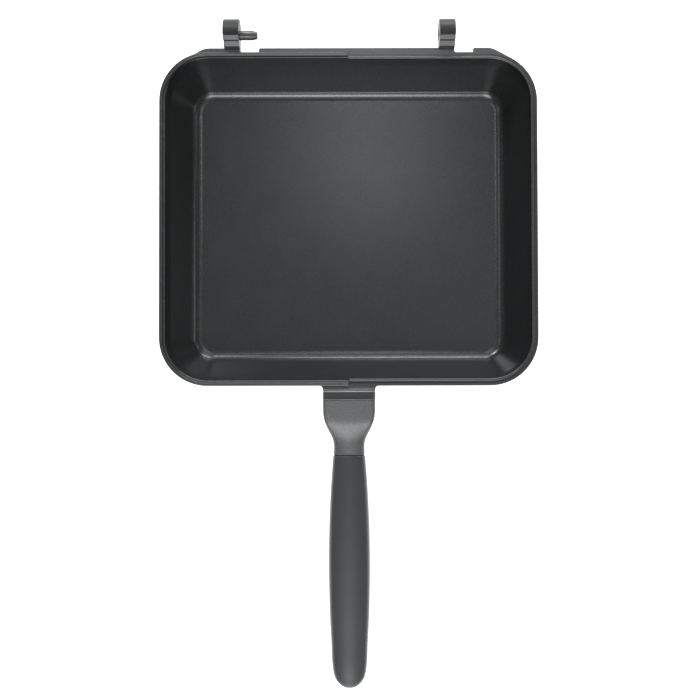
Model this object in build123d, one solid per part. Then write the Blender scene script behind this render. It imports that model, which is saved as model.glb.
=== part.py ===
from build123d import *
import math
import os

# One half of a double-sided flip pan: a square cast tray with a stepped rim, half a hinge and
# half a handle. Two copies of this same half make the whole pan. The second copy is turned half
# a turn about the Y direction in the closing plane, so the rim, the hinge and the lug below are
# all drawn to meet their own turned copy.
#
# Millimetres. +Z is up out of the tray, +Y is towards the hinge, the handle runs towards -Y.
# The origin is the middle of the tray on the underside of its base.

# Tray
RIM_WIDTH = 281.0            # over the outside of the rim, X
RIM_DEPTH = 248.0            # over the outside of the rim, Y
RIM_CORNER = 36.0            # radius of the rim's outside corners
TRAY_HEIGHT = 42.5           # from the base to the closing plane
FLOOR = 4.5                  # thickness of the floor
WALL = 3.0                   # thickness of the side walls, measured level
RIM_BAND = 6.0               # height of the upright band round the outside of the rim
UPPER_WALL = 9.0             # height of the steeper band of wall under the rim
UPPER_DRAFT = 18.0           # its slope, in degrees from upright
LOWER_DRAFT = 28.0           # slope of the wall below it
FLOOR_FILLET = 8.7           # inside radius between wall and floor
BASE_FILLET = 11.0           # outside radius between wall and base

# Stepped rim: the left half carries a raised outer lip, the right half a raised inner tongue
STEP = 2.4                   # height of the step, half of it above the closing plane
LIP = 2.6                    # inner side of the raised lip, from the rim's outside
LIP_SETBACK = 0.1            # its outer side, drawn back for the casting die
LEDGE = 1.3                  # width of the ledge inside the lip
LEDGE_EDGE = 0.9             # rounding from the ledge down into the wall
TONGUE = 1.9                 # width of the raised tongue
RIM_ROOT = 4.6               # how far lip and tongue run down into the wall
RIM_SLIP = 0.8               # side clearance of a lip beside the copy's tongue
RIM_EDGE = 0.45              # rounding of the rim's edges
CREST_EDGE = 0.7             # rounding along the tops of lip and tongue

# Hinge, at the rear
HINGE_SETBACK = 12.4         # hinge axis behind the rim
KNUCKLE_RADIUS = 11.8
BRACKET_WIDTH = 11.7
BRACKET_GAP = 1.4            # between a bracket and the copy's bracket beside it
HINGE_INSET = 60.0           # outside of the rim to the face that the pin stands on
UPPER_TREAD = 9.4            # height of the knuckle's first step over the axis, at its rear
UPPER_RISER = 2.6            # and how far forward of the axis that step starts
LOWER_TREAD = 4.6            # the same for the second step
LOWER_RISER = 5.6
LOWER_END = 8.9              # and how far forward it ends
TREAD_SLOPE = 25.0           # fall of both steps towards the tray, in degrees
BRACKET_FRONT = 10.2         # foot of the bracket's front face, forward of the axis
BRACKET_EDGE = 0.5           # rounding of the edges of its two side faces
BRACKET_ROOT = 1.3           # fillet between a bracket and the flange, in the notch beside it
FLANGE_REACH = 3.5           # rear flange beyond the rim
FLANGE_THICKNESS = 4.0
FLANGE_END = 28.0            # slope of its ends, in degrees
FLANGE_CORNER = 14.0         # rounding where they begin
NOTCH_GAP = 0.3              # flange notch behind the copy's knuckle
NOTCH_SIDE = 0.9             # and beside it
NOTCH_EDGE = 1.0             # rounding of the flange at a notch's outer end

# Hinge pin
PIN_DIAMETER = 7.0
PIN_SHANK = 9.0              # length that is pressed into the bracket
PIN_SHANK_DIAMETER = 6.0     # the running length's shoulder seats on the bracket
PIN_TAPER = 3.7              # length of the tapered tip
PIN_TIP_DIAMETER = 5.3
PIN_TIP_EDGE = 0.8           # rounding of the tip
PIN_RUN = 0.2                # radial clearance in the copy's socket
PIN_SEAT = 0.01              # radial clearance drawn round the pressed shank

# Handle lug, cast on the tray's front
LUG_WIDTH = 38.6
LUG_LENGTH = 10.5            # rim to the lug's front face
LUG_ROOT = 2.6               # fillet between lug and rim, seen from above
HANDLE_THICKNESS = 15.5      # from the closing plane down
HANDLE_GAP = 0.2             # handle faces below the closing plane
BAND_START = 1.6             # foot of the sloping band on top of the lug, from the rim
BAND_LENGTH = 2.2            # its length along Y
RECESS_EDGE = 1.0            # rounding from the band down into the recess
RIDGE_EDGE = 0.4             # rounding of the ridge in front of it
RECESS_LENGTH = 4.9          # length of the recess floor along Y
RECESS_DEPTH = 3.0           # below the closing plane
TAB_WIDTH = 2.0              # tab that closes the recess on the right
TAB_SLIP = 0.2               # its clearance in the open end of the copy's recess

# Tenon of the lug, inside the ferrule
TENON_WIDTH = 26.0
TENON_THICKNESS = 7.0
TENON_LENGTH = 18.0
TENON_SLIP = 0.15            # clearance round the tenon

# Ferrule, the cast neck of the handle
FERRULE_JOINT = 0.3          # gap between lug and ferrule
FERRULE_LENGTH = 40.9
FERRULE_EDGE = 2.2           # rounding of its top edges
FERRULE_KEEL = 5.5           # rounding of its bottom edges
FERRULE_STEPS = 10           # cross-sections along it
PLATEAU_END = 0.33           # where the flat plateau ends, as a share of the length
NECK_START = 0.78            # and where the top is level again, at the neck
SHOULDER_START = 0.13        # where the sides begin and end to draw in
SHOULDER_END = 0.82
SHOULDER_BIAS = 1.55         # how late they do most of it
NECK_WIDTH = 22.6
NECK_EDGE = 4.4              # rounding of the neck's top edges
FERRULE_CROWN = 0.3          # how far the top bulges across the ferrule's front face
NECK_CROWN = 2.6             # and across the neck
NECK_DROP = 3.2              # neck below the plateau
NECK_RISE = 1.2              # underside of the neck above the lug's underside

# Latch magnets, under the ferrule's plateau
MAGNET_DIAMETER = 10.0
MAGNET_THICKNESS = 3.0
MAGNET_SPACING = 14.0        # between the two
MAGNET_COVER = 1.8           # metal left above them
MAGNET_SLIP = 0.1

# Ferrule screws, countersunk, from underneath
SCREW_DIAMETER = 4.0
SCREW_HEAD = 7.6
SCREW_SPACING = 15.0
SCREW_THREAD = 5.0           # length in the tenon
SCREW_SLIP = 0.05            # clearance drawn round a screw
SCREW_SINK = 0.3             # head below the surface

# Tang, a steel strip inside the grip
TANG_WIDTH = 10.0
TANG_THICKNESS = 4.0
TANG_LENGTH = 120.0          # beyond the ferrule
TANG_GRIP = 16.0             # length held in the ferrule
TANG_SLIP = 0.1
TANG_PIN_DIAMETER = 4.0
TANG_PIN_LENGTH = 8.5
TANG_PIN_OVER = 1.5          # its end above the tang

# Grip
GRIP_JOINT = 0.5             # gap between ferrule and grip
SPIGOT_STEP = 0.35           # the spigot in that gap stands this far inside the neck
SPIGOT_SLIP = 0.1            # its clearance before the grip
GRIP_LENGTH = 171.4
GRIP_FRONT_WIDTH = 23.8
GRIP_MAX_WIDTH = 30.8
GRIP_TAIL_WIDTH = 22.7
GRIP_WIDEST = 0.46           # where it is widest, as a share of the length
GRIP_LEAN = 2.0              # how much each side of its thickness draws in at the ends
GRIP_STEPS = 9               # cross-sections before the rounded end
GRIP_CROWN = 3.2             # how far its inner face bulges
GRIP_EDGE = 5.4              # rounding of its inner edges
GRIP_KEEL = 9.0              # rounding of its outer edges
GRIP_END = 12.8              # length of its rounded free end
END_ANGLES = (25, 45, 62, 76)    # cross-sections round that end, in degrees of turn
GRIP_SCREW_AT = 40.0         # grip screw behind the ferrule
GRIP_SCREW_THREAD = 3.6      # length in the tang

# Places that follow from the sizes above
CLOSING = TRAY_HEIGHT
LOW = CLOSING - STEP / 2                     # level of every ledge and of the rear flange
HIGH = CLOSING + STEP / 2                    # top of the lip and of the tongue
REAR = RIM_DEPTH / 2
FRONT = -RIM_DEPTH / 2
HINGE_Y = REAR + HINGE_SETBACK
NOTCH_Y = HINGE_Y - KNUCKLE_RADIUS - NOTCH_GAP
PIN_FACE = RIM_WIDTH / 2 - HINGE_INSET       # middle of the pan to that face
SOCKET_FACE = PIN_FACE - BRACKET_GAP         # outer face of the socket bracket
SOCKET_INNER = SOCKET_FACE - BRACKET_WIDTH
PIN_REACH = BRACKET_GAP + BRACKET_WIDTH      # to the far face of the copy's socket bracket
LUG_FACE = FRONT - LUG_LENGTH
FERRULE_FACE = LUG_FACE - FERRULE_JOINT
FERRULE_END = FERRULE_FACE - FERRULE_LENGTH
GRIP_FACE = FERRULE_END - GRIP_JOINT
HANDLE_TOP = CLOSING - HANDLE_GAP
HANDLE_BOTTOM = CLOSING - HANDLE_THICKNESS
MAGNET_TOP = HANDLE_TOP - MAGNET_COVER
TENON_TOP = MAGNET_TOP - MAGNET_THICKNESS - MAGNET_SLIP
TENON_BOTTOM = TENON_TOP - TENON_THICKNESS
SCREW_Y = FERRULE_FACE - TENON_LENGTH / 2
BORE_Z = (HANDLE_TOP - NECK_DROP + HANDLE_BOTTOM + NECK_RISE) / 2   # middle of the neck


def on_level(z):
    """The horizontal plane at height z."""
    return Plane.XY.offset(z)


def across(y):
    """The upright plane at y, facing -Y, with its own Y pointing up."""
    return Plane(origin=(0, y, 0), x_dir=(1, 0, 0), z_dir=(0, -1, 0))


def rim_outline(inset, z):
    """The rim's rounded outline, moved inwards by inset."""
    radius = RIM_CORNER - inset
    return on_level(z) * RectangleRounded(RIM_WIDTH - 2 * inset, RIM_DEPTH - 2 * inset, radius)


def rim_ring(outer, inner, side):
    """A raised strip of the rim between two insets, on the left (-1) or right (+1) half only."""
    root = LOW - RIM_ROOT
    ring = extrude(rim_outline(outer, root) - rim_outline(inner, root), HIGH - root)
    ring = fillet(ring.edges().group_by(Axis.Z)[-1], CREST_EDGE)
    reach = RIM_WIDTH
    half = Box(reach, 2 * reach, 4 * reach, align=(Align.MIN if side > 0 else Align.MAX,
                                                   Align.CENTER, Align.CENTER))
    return ring & Pos(side * RIM_SLIP / 2, 0, 0) * half


def wall_inset(z):
    """How far the inner wall's surface stands inside the rim's outline at height z."""
    knee = LOW - UPPER_WALL
    inset = LIP + LEDGE + (LOW - max(z, knee)) * math.tan(math.radians(UPPER_DRAFT))
    return inset + max(knee - z, 0) * math.tan(math.radians(LOWER_DRAFT))


def tapered(levels, offset):
    """A ruled stack of rim outlines through the given heights, offset from the inner wall."""
    return loft([rim_outline(wall_inset(z) + offset, z) for z in levels], ruled=True)


def tray_hollow():
    """The space inside the tray, open upwards, with the floor fillet."""
    knee = LOW - UPPER_WALL
    lower = tapered([FLOOR, knee], 0)
    upper = tapered([knee, LOW], 0) + extrude(rim_outline(wall_inset(LOW), LOW), 2 * STEP)
    hollow = lower + upper
    floor_edges = hollow.edges().filter_by_position(Axis.Z, FLOOR - 0.01, FLOOR + 0.01)
    return fillet(floor_edges, FLOOR_FILLET)


def upright_edge(shape, x, y):
    """The shape's upright edge at x and y."""
    return ShapeList(edge for edge in shape.edges().filter_by(Axis.Z)
                     if math.hypot(edge.center().X - x, edge.center().Y - y) < 0.01)


def rim_slab():
    """The rim's top layer, drawn out behind into the rear flange."""
    slope = math.radians(FLANGE_END)
    edge = REAR + FLANGE_REACH
    root = REAR - RIM_CORNER
    # Each sloping end runs on as a tangent to the rim's corner
    touch_x = RIM_WIDTH / 2 - RIM_CORNER + RIM_CORNER * math.sin(slope)
    touch_y = root + RIM_CORNER * math.cos(slope)
    half = touch_x - (edge - touch_y) / math.tan(slope)
    plan = Polyline((-half, edge), (half, edge), (touch_x, touch_y), (touch_x, root),
                    (-touch_x, root), (-touch_x, touch_y), close=True)
    base = LOW - FLANGE_THICKNESS
    slab = extrude(rim_outline(0, base) + on_level(base) * make_face(plan), FLANGE_THICKNESS)
    corners = slab.edges().filter_by(Axis.Z).group_by(Axis.Y)[-1]
    slab = fillet(corners, FLANGE_CORNER)

    # A notch beside each bracket clears the copy's knuckle
    for face in (-PIN_FACE, SOCKET_FACE):
        far = face + PIN_FACE - SOCKET_INNER + NOTCH_SIDE
        slab -= Pos(face, NOTCH_Y, CLOSING) * Box(
            far - face, HINGE_SETBACK, 2 * CLOSING, align=(Align.MIN, Align.MIN, Align.CENTER))
        slab = fillet(upright_edge(slab, face, NOTCH_Y), BRACKET_ROOT)
        slab = fillet(upright_edge(slab, far, edge), NOTCH_EDGE)
    return fillet(slab.edges().group_by(Axis.Z)[-1], RIM_EDGE)


def tray_outside():
    """The outside of the tray up to the ledge level: walls, upright band and top layer."""
    knee = LOW - UPPER_WALL
    under_band = LOW - RIM_BAND
    skin = tapered([0, knee], -WALL) + tapered([knee, under_band], -WALL)
    base_edges = skin.edges().filter_by_position(Axis.Z, -0.01, 0.01)
    skin = fillet(base_edges, BASE_FILLET)
    band = extrude(rim_outline(0, under_band), RIM_BAND - FLANGE_THICKNESS)
    band = fillet(band.edges().group_by(Axis.Z)[0], RIM_EDGE)
    return skin + band + rim_slab()


def bracket(x_low):
    """One hinge bracket: a round knuckle with two steps in front, on an arm from the wall."""
    crest = math.sqrt(KNUCKLE_RADIUS ** 2 - UPPER_RISER ** 2)
    fall = math.tan(math.radians(TREAD_SLOPE))
    arm_front = -HINGE_SETBACK - wall_inset(CLOSING - KNUCKLE_RADIUS)
    arm_top = -(STEP + FLANGE_THICKNESS) / 2
    profile = [
        ThreePointArc((0, -KNUCKLE_RADIUS), (KNUCKLE_RADIUS, 0), (-UPPER_RISER, crest)),
        Polyline((-UPPER_RISER, crest), (-UPPER_RISER, UPPER_TREAD),
                 (-LOWER_RISER, UPPER_TREAD - fall * (LOWER_RISER - UPPER_RISER)),
                 (-LOWER_RISER, LOWER_TREAD),
                 (-LOWER_END, LOWER_TREAD - fall * (LOWER_END - LOWER_RISER)),
                 (-BRACKET_FRONT, -STEP / 2), (-BRACKET_FRONT, arm_top), (arm_front, arm_top),
                 (arm_front, -KNUCKLE_RADIUS), (0, -KNUCKLE_RADIUS)),
    ]
    plane = Plane(origin=(x_low, HINGE_Y, CLOSING), x_dir=(0, 1, 0), z_dir=(1, 0, 0))
    body = extrude(plane * make_face(profile), BRACKET_WIDTH)
    side_edges = body.edges().group_by(Axis.X)
    return fillet(side_edges[0] + side_edges[-1], BRACKET_EDGE)


def hinge_bore(x_face, length, radius):
    """A round hole on the hinge axis, from x_face towards -X."""
    return Pos(x_face, HINGE_Y, CLOSING) * Rot(0, -90, 0) * Cylinder(
        radius, length, align=(Align.CENTER, Align.CENTER, Align.MIN))


def handle_section(y, width, top, bottom, edge, keel, crown):
    """The handle's cross-section at y: bulging top, rounded edges, rounder underside."""
    height = top - bottom
    side = width / 2
    # Where the section is small, its roundings leave room for each other
    edge = min(edge, 0.36 * height)
    keel = min(keel, 0.48 * height, 0.45 * width)
    outline = make_face([
        Polyline((-side, height - crown), (-side, 0), (side, 0), (side, height - crown)),
        ThreePointArc((side, height - crown), (0, height), (-side, height - crown)),
    ])
    outline = fillet(outline.vertices().group_by(Axis.Y)[-1], edge)
    outline = fillet(outline.vertices().group_by(Axis.Y)[0], keel)
    return across(y) * Pos(0, bottom) * outline


def lug():
    """The cast lug: sloping band, recess with its tab, and the tenon for the ferrule."""
    inside = FRONT + wall_inset(HANDLE_BOTTOM)
    body = loft([
        handle_section(y, LUG_WIDTH, HANDLE_TOP, HANDLE_BOTTOM, FERRULE_EDGE, FERRULE_KEEL,
                       FERRULE_CROWN)
        for y in (inside, LUG_FACE)
    ], ruled=True)

    # Everything above the lug's stepped top is cut away
    crest = BAND_START + BAND_LENGTH
    floor_from = crest + RECESS_EDGE
    floor_to = floor_from + RECESS_LENGTH
    sky = CLOSING + 4 * STEP
    stepped = [(-LUG_WIDTH, LOW), (BAND_START, LOW), (crest, HANDLE_TOP),
               (floor_from, HANDLE_TOP), (floor_from, CLOSING - RECESS_DEPTH),
               (floor_to, CLOSING - RECESS_DEPTH), (floor_to, HANDLE_TOP),
               (2 * LUG_LENGTH, HANDLE_TOP), (2 * LUG_LENGTH, sky), (-LUG_WIDTH, sky)]
    outline = make_face(Polyline(*[(FRONT - along, z) for along, z in stepped], close=True))
    for along, rounding in ((floor_from, RECESS_EDGE), (floor_to, RIDGE_EDGE)):
        corner = outline.vertices().sort_by_distance((FRONT - along, HANDLE_TOP))[0]
        outline = fillet(corner, rounding)
    side_plane = Plane(origin=(-LUG_WIDTH, 0, 0), x_dir=(0, 1, 0), z_dir=(1, 0, 0))
    body -= extrude(side_plane * outline, 2 * LUG_WIDTH)

    # The tab fills the recess's right end, and its crown enters the open end of the copy's
    stop = Pos(LUG_WIDTH / 2, FRONT - floor_from, HANDLE_TOP) * Box(
        TAB_WIDTH, RECESS_LENGTH, 2 * RECESS_DEPTH, align=(Align.MAX, Align.MAX, Align.MAX))
    crown = Pos(LUG_WIDTH / 2, FRONT - floor_from - TAB_SLIP, HIGH) * Box(
        TAB_WIDTH, RECESS_LENGTH - 2 * TAB_SLIP, STEP, align=(Align.MAX, Align.MAX, Align.MAX))
    tenon = Pos(0, LUG_FACE, TENON_TOP) * Box(
        TENON_WIDTH, FERRULE_JOINT + TENON_LENGTH, TENON_THICKNESS,
        align=(Align.CENTER, Align.MAX, Align.MAX))
    return body + stop + crown + tenon


def lug_roots():
    """The concave fillets between lug and rim, seen from above."""
    roots = []
    for side in (-1, 1):
        depth = RIM_BAND - STEP
        block = Box(LUG_ROOT, LUG_ROOT + WALL, depth,
                    align=(Align.MIN if side > 0 else Align.MAX, Align.MIN, Align.MAX))
        block = Pos(side * LUG_WIDTH / 2, FRONT - LUG_ROOT, LOW) * block
        centre = Pos(side * (LUG_WIDTH / 2 + LUG_ROOT), FRONT - LUG_ROOT, LOW)
        roots.append(block - centre * Cylinder(LUG_ROOT, 4 * depth))
    return roots


def screw_places():
    """The two ferrule screws, on the ferrule's underside."""
    return [Pos(side * SCREW_SPACING / 2, SCREW_Y, 0) for side in (-1, 1)]


def countersunk(bottom, tip, slip):
    """A countersunk screw's outline turned about Z, head down, from bottom up to tip."""
    cone = (SCREW_HEAD - SCREW_DIAMETER) / 2
    radius = SCREW_DIAMETER / 2 + slip
    head = SCREW_HEAD / 2 + slip
    outline = Polyline((0, bottom), (head, bottom), (radius, bottom + cone), (radius, tip),
                       (0, tip), close=True)
    return revolve(Plane.XZ * make_face(outline), Axis.Z)


def screw(bottom, tip):
    """A countersunk screw with a cross recess in its head."""
    body = countersunk(bottom, tip, 0)
    for turn in (0, 90):
        slot = Box(SCREW_HEAD * 0.55, SCREW_HEAD * 0.14, SCREW_HEAD * 0.3,
                   align=(Align.CENTER, Align.CENTER, Align.MIN))
        body -= Pos(0, 0, bottom) * Rot(0, 0, turn) * slot
    return body


def pan_body():
    """The cast tray with its rim, rear flange, two brackets and the handle lug."""
    body = tray_outside()
    body += bracket(-PIN_FACE - BRACKET_WIDTH) + bracket(SOCKET_INNER)
    body += lug()
    for root in lug_roots():
        body += root
    body -= tray_hollow()
    mouth = rim_outline(wall_inset(LOW), LOW).edges()
    ledge_edges = [edge for edge in body.edges().filter_by_position(Axis.Z, LOW - 0.01, LOW + 0.01)
                   if min(side.distance_to(edge @ 0.5) for side in mouth) < 0.01]
    body = fillet(ledge_edges, LEDGE_EDGE)
    body += rim_ring(LIP_SETBACK, LIP, -1)
    body += rim_ring(LIP + RIM_SLIP, LIP + RIM_SLIP + TONGUE, 1)
    body -= hinge_bore(-PIN_FACE, PIN_SHANK + PIN_SEAT, PIN_SHANK_DIAMETER / 2 + PIN_SEAT)
    body -= hinge_bore(SOCKET_FACE + 1, BRACKET_WIDTH + 2, PIN_DIAMETER / 2 + PIN_RUN)
    for place in screw_places():
        hole = Cylinder(SCREW_DIAMETER / 2 + SCREW_SLIP, TENON_THICKNESS,
                        align=(Align.CENTER, Align.CENTER, Align.MAX))
        body -= place * Pos(0, 0, TENON_BOTTOM + SCREW_THREAD + SCREW_SLIP) * hole
    return body


def hinge_pin():
    """The steel pin: a pressed shank, a running length and a tapered tip."""
    shank = PIN_SHANK_DIAMETER / 2
    radius = PIN_DIAMETER / 2
    tip = PIN_TIP_DIAMETER / 2
    outline = Polyline((0, -PIN_SHANK), (shank, -PIN_SHANK), (shank, 0), (radius, 0),
                       (radius, PIN_REACH - PIN_TAPER), (tip, PIN_REACH), (0, PIN_REACH),
                       close=True)
    pin = revolve(Plane.XZ * make_face(outline), Axis.Z)
    pin = fillet(pin.edges().group_by(Axis.Z)[-1], PIN_TIP_EDGE)
    return Pos(-PIN_FACE, HINGE_Y, CLOSING) * Rot(0, 90, 0) * pin


def ease(share, start, end):
    """0 before start, 1 after end, and a smooth S between them."""
    along = min(max((share - start) / (end - start), 0), 1)
    return along * along * (3 - 2 * along)


def ferrule_sections():
    """Cross-sections of the ferrule: a flat plateau, then shoulders that fall to the neck."""
    sections = []
    for step in range(FERRULE_STEPS + 1):
        share = step / FERRULE_STEPS
        narrowing = ease(share, SHOULDER_START, SHOULDER_END) ** SHOULDER_BIAS
        falling = ease(share, PLATEAU_END, NECK_START)
        width = LUG_WIDTH - narrowing * (LUG_WIDTH - NECK_WIDTH)
        edge = FERRULE_EDGE + falling * (NECK_EDGE - FERRULE_EDGE)
        crown = FERRULE_CROWN + falling * (NECK_CROWN - FERRULE_CROWN)
        sections.append(handle_section(FERRULE_FACE - share * FERRULE_LENGTH, width,
                                       HANDLE_TOP - falling * NECK_DROP,
                                       HANDLE_BOTTOM + falling * NECK_RISE, edge, FERRULE_KEEL,
                                       crown))
    return sections


def spigot():
    """The step at the ferrule's end that closes its joint with the grip."""
    section = handle_section(FERRULE_END, NECK_WIDTH - 2 * SPIGOT_STEP,
                             HANDLE_TOP - NECK_DROP - SPIGOT_STEP,
                             HANDLE_BOTTOM + NECK_RISE + SPIGOT_STEP, NECK_EDGE, FERRULE_KEEL,
                             NECK_CROWN)
    return extrude(section, GRIP_JOINT - SPIGOT_SLIP)


def ferrule():
    """The cast neck: plateau, shoulders, and the pockets for tenon, magnets, screws and tang."""
    body = loft(ferrule_sections()) + spigot()
    pocket = Pos(0, FERRULE_FACE, TENON_TOP + TENON_SLIP) * Box(
        TENON_WIDTH + 2 * TENON_SLIP, TENON_LENGTH + TENON_SLIP, TENON_THICKNESS + 2 * TENON_SLIP,
        align=(Align.CENTER, Align.MAX, Align.MAX))
    body -= pocket
    for place in magnet_places():
        seat = Cylinder(MAGNET_DIAMETER / 2 + MAGNET_SLIP, MAGNET_THICKNESS + MAGNET_SLIP,
                        align=(Align.CENTER, Align.CENTER, Align.MAX))
        body -= place * Pos(0, 0, MAGNET_TOP) * seat
    for place in screw_places():
        below = Cylinder(SCREW_HEAD / 2 + SCREW_SLIP, SCREW_SINK + 1,
                         align=(Align.CENTER, Align.CENTER, Align.MAX))
        body -= place * countersunk(HANDLE_BOTTOM + SCREW_SINK, TENON_BOTTOM + 1, SCREW_SLIP)
        body -= place * Pos(0, 0, HANDLE_BOTTOM + SCREW_SINK) * below
    body -= tang_blank(FERRULE_END + TANG_GRIP + TANG_SLIP, GRIP_FACE, TANG_SLIP)
    body -= tang_pin_blank(SCREW_SLIP)
    return body


def magnet_places():
    """The two magnets lie side by side, north up in one and south up in the other."""
    return [Pos(side * MAGNET_SPACING / 2, SCREW_Y, 0) for side in (-1, 1)]


def latch_magnets():
    disc = Cylinder(MAGNET_DIAMETER / 2, MAGNET_THICKNESS,
                    align=(Align.CENTER, Align.CENTER, Align.MAX))
    return [place * Pos(0, 0, MAGNET_TOP) * disc for place in magnet_places()]


def ferrule_screws():
    bottom = HANDLE_BOTTOM + SCREW_SINK
    return [place * screw(bottom, TENON_BOTTOM + SCREW_THREAD) for place in screw_places()]


def tang_blank(y_front, y_back, slip):
    """The tang's strip between two places on Y, grown by slip all round."""
    return Pos(0, y_front, BORE_Z) * Box(
        TANG_WIDTH + 2 * slip, y_front - y_back, TANG_THICKNESS + 2 * slip,
        align=(Align.CENTER, Align.MAX, Align.CENTER))


def tang_pin_blank(slip):
    """The upright pin through ferrule and tang, from the underside of the neck."""
    y = FERRULE_END + TANG_GRIP / 2
    bottom = BORE_Z + TANG_THICKNESS / 2 + TANG_PIN_OVER - TANG_PIN_LENGTH
    return Pos(0, y, bottom - slip) * Cylinder(
        TANG_PIN_DIAMETER / 2 + slip, TANG_PIN_LENGTH + 2 * slip,
        align=(Align.CENTER, Align.CENTER, Align.MIN))


def grip_screw_place():
    return Pos(0, GRIP_FACE - GRIP_SCREW_AT, 0)


def tang():
    """The steel strip that carries the grip."""
    strip = tang_blank(FERRULE_END + TANG_GRIP, FERRULE_END - TANG_LENGTH, 0)
    corners = strip.edges().filter_by(Axis.Z)
    strip = fillet(corners, TANG_WIDTH / 5)
    strip -= tang_pin_blank(TANG_SLIP)
    hole = Cylinder(SCREW_DIAMETER / 2 + SCREW_SLIP, 2 * TANG_THICKNESS)
    return strip - grip_screw_place() * Pos(0, 0, BORE_Z) * hole


def grip_sections():
    """Cross-sections of the grip: it swells to its widest place, narrows, and rounds off."""
    swell = GRIP_MAX_WIDTH - GRIP_FRONT_WIDTH
    fade = GRIP_MAX_WIDTH - GRIP_TAIL_WIDTH
    straight = GRIP_LENGTH - GRIP_END
    stations = [(step / GRIP_STEPS * straight, 1) for step in range(GRIP_STEPS + 1)]
    for angle in END_ANGLES:
        turn = math.radians(angle)
        reach = GRIP_END * math.sin(turn) / math.sin(math.radians(END_ANGLES[-1]))
        stations.append((straight + reach, math.cos(turn)))
    sections = []
    for along, shrink in stations:
        share = along / GRIP_LENGTH
        before = max(1 - share / GRIP_WIDEST, 0)
        after = max((share - GRIP_WIDEST) / (1 - GRIP_WIDEST), 0)
        width = GRIP_MAX_WIDTH - swell * before ** 2 - fade * after ** 2
        lean = GRIP_LEAN * (before ** 2 + after ** 2)
        middle = (HANDLE_TOP + HANDLE_BOTTOM) / 2
        half = (HANDLE_TOP - HANDLE_BOTTOM) / 2 - lean
        sections.append(handle_section(GRIP_FACE - along, width * shrink, middle + half * shrink,
                                       middle - half * shrink, GRIP_EDGE, GRIP_KEEL,
                                       GRIP_CROWN * shrink))
    return sections


def grip():
    """The moulded grip: oval, thickest near the middle, with a rounded end."""
    body = loft(grip_sections())
    body -= tang_blank(GRIP_FACE + 1, FERRULE_END - TANG_LENGTH - TANG_SLIP, TANG_SLIP)
    sink = HANDLE_BOTTOM + SCREW_SINK
    below = Cylinder(SCREW_HEAD / 2 + SCREW_SLIP, SCREW_SINK + 1,
                     align=(Align.CENTER, Align.CENTER, Align.MAX))
    body -= grip_screw_place() * countersunk(sink, BORE_Z, SCREW_SLIP)
    return body - grip_screw_place() * Pos(0, 0, sink) * below


def grip_screw():
    tip = BORE_Z - TANG_THICKNESS / 2 + GRIP_SCREW_THREAD
    return grip_screw_place() * screw(HANDLE_BOTTOM + SCREW_SINK, tip)


def write(node, shape):
    """Write one node; a node of several like pieces is written as a group of solids."""
    if isinstance(shape, list):
        shape = Compound(children=[Compound(piece.wrapped) for piece in shape])
    export_step(shape, f"parts/{node}.step")


os.makedirs("parts", exist_ok=True)
write("pan_body", pan_body())
write("hinge_pin", hinge_pin())
write("ferrule", ferrule())
write("latch_magnets", latch_magnets())
write("ferrule_screws", ferrule_screws())
write("tang", tang())
write("tang_pin", tang_pin_blank(0))
write("grip", grip())
write("grip_screw", grip_screw())
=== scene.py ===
import math

import bpy
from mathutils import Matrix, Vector

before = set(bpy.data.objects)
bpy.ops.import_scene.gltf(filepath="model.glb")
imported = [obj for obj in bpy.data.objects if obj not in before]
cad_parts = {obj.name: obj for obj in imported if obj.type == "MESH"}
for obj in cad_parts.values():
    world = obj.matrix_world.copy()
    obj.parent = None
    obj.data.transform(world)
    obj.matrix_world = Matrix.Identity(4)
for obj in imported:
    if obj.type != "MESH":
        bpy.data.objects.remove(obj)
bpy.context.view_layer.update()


# The tray, rim, hinge brackets and handle lug are one pressure casting in aluminium. It is
# blasted and sprayed with a dark grey non-stick coating that carries a fine lighter speckle.
# The coat is thin on the rim and the lug, which the other half touches, and their edges carry a
# painted highlight.
class Term:
    """A value or colour in a finish's node tree; arithmetic on it adds the Math nodes."""

    def __init__(self, finish, socket):
        self.finish = finish
        self.socket = socket

    def maths(self, operation, first, second):
        return self.finish.node("Math", {"operation": operation}, {0: first, 1: second})

    def __add__(self, other):
        return self.maths("ADD", self, other)

    def __sub__(self, other):
        return self.maths("SUBTRACT", self, other)

    def __rsub__(self, other):
        return self.maths("SUBTRACT", other, self)

    def __mul__(self, other):
        return self.maths("MULTIPLY", self, other)

    __radd__ = __add__
    __rmul__ = __mul__


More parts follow.
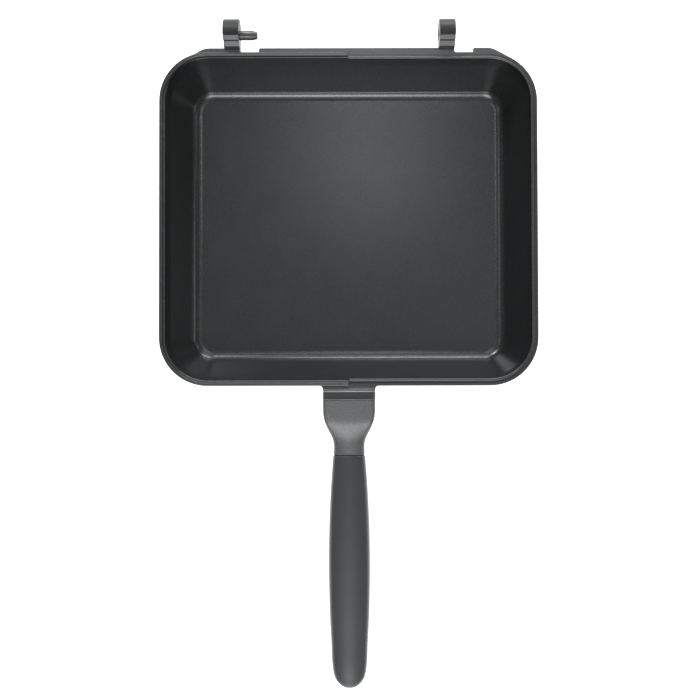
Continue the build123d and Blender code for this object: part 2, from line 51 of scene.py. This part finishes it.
class Finish:
    """A material in the making: node() adds any node, and surface() makes it the shader."""

    def __init__(self, name):
        self.material = bpy.data.materials.new(name)
        self.material.use_nodes = True
        self.tree = self.material.node_tree
        self.tree.nodes.clear()

    def node(self, kind, settings, inputs, output=0):
        made = self.tree.nodes.new("ShaderNode" + kind)
        for name, value in settings.items():
            setattr(made, name, value)
        for key, value in inputs.items():
            if isinstance(value, Term):
                self.tree.links.new(value.socket, made.inputs[key])
            else:
                made.inputs[key].default_value = value
        return Term(self, made.outputs[output])

    def place(self):
        """Where a point lies on the pan, in metres."""
        return self.node("TexCoord", {}, {}, "Object")

    def along(self, axis):
        """The same along one axis."""
        return self.node("SeparateXYZ", {}, {"Vector": self.place()}, axis)

    def facing_up(self):
        """How far the surface faces upwards, from -1 to 1."""
        normal = self.node("NewGeometry", {}, {}, "Normal")
        return self.node("SeparateXYZ", {}, {"Vector": normal}, "Z")

    def fade(self, value, start, end):
        """0 where the value is below start, 1 above end, and smooth between."""
        return self.node("MapRange", {"interpolation_type": "SMOOTHSTEP"},
                         {"Value": value, "From Min": start, "From Max": end})

    def band(self, value, rise, fall):
        """1 between rise and fall, each a pair of a start and an end, and 0 outside them."""
        return self.fade(value, *rise) * (1 - self.fade(value, *fall))

    def noise(self, size, detail=2.0, roughness=0.5):
        """Noise whose grains are about size metres across, from 0 to 1."""
        return self.node("TexNoise", {"noise_dimensions": "3D"},
                         {"Vector": self.place(), "Scale": 1 / size, "Detail": detail,
                          "Roughness": roughness})

    def shade(self, share, dark, light):
        """A colour between dark and light."""
        return self.node("Mix", {"data_type": "RGBA"}, {0: share, 6: dark, 7: light}, 2)

    def bump(self, height, depth):
        """A relief of depth metres where the height goes from 0 to 1."""
        return self.node("Bump", {}, {"Height": height, "Strength": 1.0, "Distance": depth})

    def surface(self, **inputs):
        """The finished material; each input is a socket of the shader, with _ for a space."""
        named = {name.replace("_", " "): value for name, value in inputs.items()}
        shader = self.node("BsdfPrincipled", {}, named)
        ending = self.tree.nodes.new("ShaderNodeOutputMaterial")
        self.tree.links.new(shader.socket, ending.inputs["Surface"])
        return self.material


def grey(level, warmth=0.0):
    """A grey, warmer or, with a negative warmth, cooler than neutral."""
    return (level * (1 + warmth), level, level * (1 - warmth), 1)


def finish_node(name, material):
    """Give one CAD node its finish."""
    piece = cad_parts[name]
    piece.data.materials.clear()
    piece.data.materials.append(material)


coat = Finish("nonstick_coating")
coat_speckle = coat.fade(coat.noise(0.0009, detail=3.0, roughness=0.6), 0.48, 0.66)
coat_cloud = coat.noise(0.022, detail=3.0)
coat_back = coat.along("Y")
coat_front = 0 - coat_back
coat_height = coat.along("Z")
coat_across = coat.node("VectorMath", {"operation": "ABSOLUTE"}, {0: coat.place()})
coat_side = coat.node("SeparateXYZ", {}, {"Vector": coat_across}, "X")
coat_upward = coat.facing_up()

# Rim and lug: the coat is thin there, but not on upright walls, and less so on the rim's sides.
# The knuckles keep their thick coat, as painted shade; the edges between faces get a painted
# highlight.
knuckle_start = (0.1336, 0.1340)
lug_start = (0.1242, 0.1250)
rim_start = (0.0402, 0.0411)
rim_sides = (0.110, 0.128)
coat_edge_highlight = coat.band(coat_upward, (0.25, 0.55), (0.93, 0.985))
coat_knuckles = coat.fade(coat_back, *knuckle_start)
coat_lug = coat.fade(coat_front, *lug_start)
coat_rim = coat.fade(coat_height, *rim_start) * (1 - coat.fade(coat_side, *rim_sides) * 0.7)
coat_thin_and_shade = (1 - (1 - coat_lug) * (1 - coat_rim)) * (1 - coat_knuckles)
coat_thin_and_shade = coat_thin_and_shade * coat.fade(coat_upward, 0.05, 0.30)

# Below the rim's top the coat stays dark like the thick coat, as painted shade: at the foot of the
# tongue, in the slot between tongue and lip on the centre line, and along the inside of the lip
# near the hinge. The inset is how far a point lies inside the rim's outline, whose corners are
# rounded.
rim_corner_centre = (0.1045, 0.0880, 1.0)
rim_corner_radius = 0.036
tongue_shade_inset = (0.0008, 0.0026)
lip_inside_shade_band = ((0.0026, 0.0028), (0.0040, 0.0044))
right_half = (0.0, 0.0004)
slot_shade_half_width = (0.0004, 0.0006)
ledge_top = (0.0414, 0.0420)
coat_corner = coat.node("VectorMath", {"operation": "SUBTRACT"},
                        {0: coat_across, 1: rim_corner_centre})
coat_corner = coat.node("VectorMath", {"operation": "MAXIMUM"}, {0: coat_corner, 1: (0, 0, 0)})
coat_inset = rim_corner_radius - coat.node("VectorMath", {"operation": "LENGTH"},
                                           {0: coat_corner}, "Value")
coat_tongue_foot_shade = coat.fade(coat_inset, *tongue_shade_inset) * coat.fade(coat.along("X"), *right_half)
coat_slot_shade = coat.fade(coat_inset, 0.0, 0.0002) * (1 - coat.fade(coat_side, *slot_shade_half_width))
coat_ledge = 1 - coat.fade(coat_height, *ledge_top)
coat_near_hinge = coat.fade(coat_back, 0.095, 0.105)
coat_near_hinge = coat_near_hinge * (1 - coat.fade(coat.along("X"), -0.0004, 0.0))
coat_lip_inner_shade = coat.band(coat_inset, *lip_inside_shade_band) * coat_near_hinge * 0.7
coat_not_shaded = (1 - coat_tongue_foot_shade) * (1 - coat_slot_shade) * (1 - coat_lip_inner_shade)
coat_thin_and_shade = coat_thin_and_shade * (1 - (1 - coat_not_shaded) * coat_ledge)

# Painted highlights in a light grey like bare metal: the crest of the lug's sloping band, the low
# ridge in front of its recess, and the lip's inner edge near the hinge.
lug_crest = ((0.1276, 0.1280), (0.1283, 0.1289))
lug_ridge = ((0.1336, 0.1339), (0.1345, 0.1346))
lip_edge = ((0.0021, 0.0023), (0.0027, 0.0028))
coat_crest_highlight = coat.band(coat_front, *lug_crest)
coat_ridge_highlight = coat.band(coat_front, *lug_ridge)
coat_lip_edge_highlight = coat.band(coat_inset, *lip_edge) * coat_near_hinge
coat_lip_edge_highlight = coat_lip_edge_highlight * (1 - coat.fade(coat_upward, 0.30, 0.60))
coat_painted_highlight = coat_crest_highlight * 0.9 + coat_ridge_highlight * 0.3 + coat_lip_edge_highlight * 0.4

# Thick coat is nearly black. Worn coat is greyer, lighter on edges as a painted highlight, and
# lighter on the rear flange. The knuckles and the inside of the lip are dark and metallic, as
# painted shade.
flange_start = (0.1185, 0.1225)
coat_full = coat.shade(coat_speckle * 0.5 + coat_cloud * 0.3, grey(0.010, -0.02),
                       grey(0.024, -0.02))
coat_flange = coat.fade(coat_back, *flange_start)
coat_worn_and_edge_highlight = coat.shade(coat_speckle * 0.4 + coat_edge_highlight * 0.6 + coat_flange * 0.12, grey(0.034),
                       grey(0.082))
finish_node("pan_body", coat.surface(
    Base_Color=coat.shade(coat_painted_highlight, coat.shade(coat_thin_and_shade, coat_full, coat_worn_and_edge_highlight), grey(0.26)),
    # Metallic darkens the knuckles and the inside of the lip further, as painted shade.
    Metallic=coat_knuckles * 0.52 + coat_lip_inner_shade,
    Roughness=0.22 + coat_cloud * 0.06 + coat_thin_and_shade * 0.06 + coat_knuckles * 0.16,
    Normal=coat.bump(coat.noise(0.00045), 0.000012),
))


# The hinge pin is turned from dark steel rod and pressed into the left bracket. Its tip is
# tapered so that it finds the socket of the other half.
steel = Finish("turned_steel")
steel_rings = steel.node("TexWave", {"wave_type": "BANDS", "bands_direction": "X"},
                         {"Vector": steel.place(), "Scale": 900.0, "Distortion": 1.5,
                          "Detail": 2.0})
finish_node("hinge_pin", steel.surface(
    Base_Color=steel.shade(steel.noise(0.002), grey(0.060), grey(0.095)),
    Metallic=1.0,
    Roughness=0.28 + steel_rings * 0.10,
    Normal=steel.bump(steel_rings, 0.00002),
))


# The ferrule is a small casting over the lug's tenon, sprayed with a grey metallic paint whose
# flakes glitter finely, with a painted highlight along its upper edges. The spigot that closes the
# joint to the grip is coloured near black, as painted shade in the joint.
paint = Finish("ferrule_paint")
paint_flake = paint.fade(paint.noise(0.0009, detail=4.0, roughness=0.7), 0.36, 0.68)
paint_upward = paint.facing_up()
paint_edge_highlight = paint.band(paint_upward, (0.30, 0.60), (0.80, 0.97))
spigot_start = (0.1752, 0.1756)
paint_joint_shade = paint.fade(0 - paint.along("Y"), *spigot_start)
paint_sprayed = paint.shade(paint_flake * 0.8 + paint_edge_highlight * 0.2, grey(0.090), grey(0.155))
finish_node("ferrule", paint.surface(
    Base_Color=paint.shade(paint_joint_shade, paint_sprayed, grey(0.004)),
    Metallic=0.7 - paint_joint_shade * 0.7,
    Roughness=0.43 + paint.noise(0.008) * 0.06 + paint_flake * 0.04 + paint_joint_shade * 0.4,
    Normal=paint.bump(paint.noise(0.0010, detail=4.0, roughness=0.6), 0.00005),
))


# Two nickel-plated magnets sit under the ferrule's plateau and hold the halves closed. The
# plating is bright, with the faint clouds of a barrel-plated part.
nickel = Finish("nickel_plating")
nickel_cloud = nickel.noise(0.0025, detail=4.0)
finish_node("latch_magnets", nickel.surface(
    Base_Color=nickel.shade(nickel_cloud, grey(0.42, 0.05), grey(0.60, 0.05)),
    Metallic=1.0,
    Roughness=0.16 + nickel_cloud * 0.14,
    Normal=nickel.bump(nickel.noise(0.0004), 0.00001),
))


# Three countersunk screws in zinc-plated steel are driven from underneath: two clamp the
# ferrule to the tenon, and one holds the grip on the tang.
zinc = Finish("zinc_plating")
zinc_spangle = zinc.noise(0.0012, detail=3.0)
zinc_scuff = zinc.fade(zinc.noise(0.0006, detail=4.0), 0.52, 0.62)
for name in ("ferrule_screws", "grip_screw"):
    finish_node(name, zinc.surface(
        Base_Color=zinc.shade(zinc_spangle, grey(0.30, -0.04), grey(0.52, -0.04)),
        Metallic=1.0,
        Roughness=0.26 + zinc_spangle * 0.12 + zinc_scuff * 0.10,
        Normal=zinc.bump(zinc_spangle, 0.00002),
    ))


# The tang is a strip of drawn steel between ferrule and grip, and a ground steel pin keys it in
# the ferrule. Both show the fine lengthwise lines of drawing.
drawn = Finish("drawn_steel")
drawn_lines = drawn.node("TexWave", {"wave_type": "BANDS", "bands_direction": "X"},
                         {"Vector": drawn.place(), "Scale": 600.0, "Distortion": 2.0,
                          "Detail": 3.0, "Detail Scale": 0.4})
for name in ("tang", "tang_pin"):
    finish_node(name, drawn.surface(
        Base_Color=drawn.shade(drawn_lines * 0.5 + drawn.noise(0.004) * 0.5, grey(0.26),
                               grey(0.40)),
        Metallic=1.0,
        Roughness=0.30 + drawn_lines * 0.12,
        Normal=drawn.bump(drawn_lines, 0.00001),
    ))


# The grip is moulded round the tang's channel in hard plastic and sprayed with a matt
# soft-touch coat, which hands have rubbed a little smoother towards the ferrule.
soft = Finish("soft_touch")
soft_grain = soft.noise(0.0006, detail=3.0)
grip_held = (-0.330, -0.230)
soft_hand = soft.fade(soft.along("Y"), *grip_held) * 0.02
finish_node("grip", soft.surface(
    Base_Color=soft.shade(soft.noise(0.012, detail=3.0), grey(0.007), grey(0.011)),
    Roughness=0.43 + soft_grain * 0.1 - soft_hand,
    Sheen_Weight=0.6,
    Sheen_Roughness=0.5,
    Normal=soft.bump(soft_grain, 0.00003),
))


# The pan lies on a smooth pale table top in a white room. The table glows faintly, so that the
# ground round the pan stays even and bright.
table_reach = 60.0
table_drop = 0.0002
table_corners = [(-table_reach, -table_reach, 0), (table_reach, -table_reach, 0),
                 (table_reach, table_reach, 0), (-table_reach, table_reach, 0)]
table_mesh = bpy.data.meshes.new("table_top")
table_mesh.from_pydata(table_corners, [], [(0, 1, 2, 3)])
table = bpy.data.objects.new("table_top", table_mesh)
table.location.z = -table_drop
bpy.context.scene.collection.objects.link(table)
table_mesh.materials.append(Finish("pale_table").surface(
    Base_Color=grey(0.85), Roughness=0.9, Emission_Color=grey(1.0), Emission_Strength=0.75))

room = bpy.data.worlds.new("studio")
room.use_nodes = True
room_walls = room.node_tree.nodes["Background"].inputs
room_walls["Color"].default_value = grey(1.0)
room_walls["Strength"].default_value = 0.24
bpy.context.scene.world = room


# Softboxes with a slightly cool light stand round the pan and hang over it, 2 m away. The
# strongest are low behind the hinge and high in front of the handle, so the floor of the tray
# shines softly and its side walls stay dark.
softbox_distance = 2.0
softbox_colour = (0.975, 1.0, 1.03)


def softbox(name, azimuth, elevation, width, height, power):
    """A softbox that faces the pan; azimuth runs clockwise from the hinge side, in degrees."""
    turn, lift = math.radians(azimuth), math.radians(elevation)
    towards = Vector((math.sin(turn) * math.cos(lift), math.cos(turn) * math.cos(lift),
                      math.sin(lift)))
    light = bpy.data.lights.new(name, "AREA")
    light.shape = "RECTANGLE"
    light.size = width
    light.size_y = height
    light.energy = power
    light.color = softbox_colour
    box = bpy.data.objects.new(name, light)
    box.location = softbox_distance * towards
    box.rotation_euler = (-towards).to_track_quat("-Z", "Y").to_euler()
    bpy.context.scene.collection.objects.link(box)


softbox("front_low", 180, 15, 0.70, 0.90, 9.5)
softbox("front_high", 183, 51, 0.75, 0.66, 20.0)
softbox("front_over", 180, 73, 0.70, 0.33, 1.4)
softbox("rear_low", 12, 14, 1.15, 0.42, 23.0)
softbox("rear_high", 14, 39, 1.00, 0.55, 5.5)
softbox("rear_left", 335, 32, 0.55, 0.50, 21.5)
softbox("over_wide", 6, 63, 1.10, 0.30, 2.6)
softbox("over_hinge", 3, 68, 0.25, 0.30, 1.3)
softbox("over_tray", 8, 78, 0.25, 0.22, 0.9)
softbox("over_all", 0, 89, 1.00, 0.80, 0.7)
softbox("right_low", 90, 14, 0.60, 0.50, 2.8)
softbox("right_rear", 60, 32, 0.60, 0.50, 1.9)
softbox("right_over", 90, 74, 0.60, 0.50, 0.6)
softbox("left_high", 285, 58, 0.60, 0.50, 1.9)


# The camera hangs at arm's length above the rim, over the front of the tray. It leans a little
# towards the hinge, so that tray and handle fill the frame, and it is turned by a hair.
camera_data = bpy.data.cameras.new("camera")
camera_data.lens = 52.92
camera_data.sensor_width = 36.0
camera_data.clip_end = 20.0
camera = bpy.data.objects.new("camera", camera_data)
camera_lean = math.radians(1.17)
camera_turn = math.radians(-0.137)
camera.location = (0.00076, -0.11305, 0.8025)
camera.rotation_euler = (camera_lean, 0, camera_turn)
bpy.context.scene.collection.objects.link(camera)
bpy.context.scene.camera = camera
bpy.context.scene.view_settings.view_transform = "Standard"
